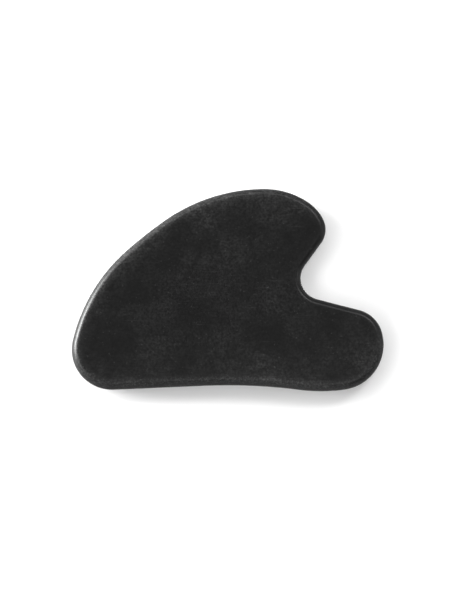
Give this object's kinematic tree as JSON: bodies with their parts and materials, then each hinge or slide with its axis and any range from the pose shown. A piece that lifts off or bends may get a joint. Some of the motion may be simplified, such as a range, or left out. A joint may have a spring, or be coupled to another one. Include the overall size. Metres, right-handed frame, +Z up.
{
  "type": "gua sha scraper",
  "caption": "Flat honed black stone massage plate with a rounded rim, a broad heel, a nose and a round lobe either side of a deep notch.",
  "frame": {"origin": "middle of the plate's underside, below the centre of its bounding box", "axes": "+X towards the lobe's end, +Y towards the crown, +Z up out of the top face"},
  "size_m": [0.085, 0.0555, 0.006],
  "materials": {
    "honed_stone": "fine honed black stone, satin, with a slightly paler scuffed rim"
  },
  "bodies": {
    "root": {"stone_plate": "honed_stone"}
  },
  "joints": []
}
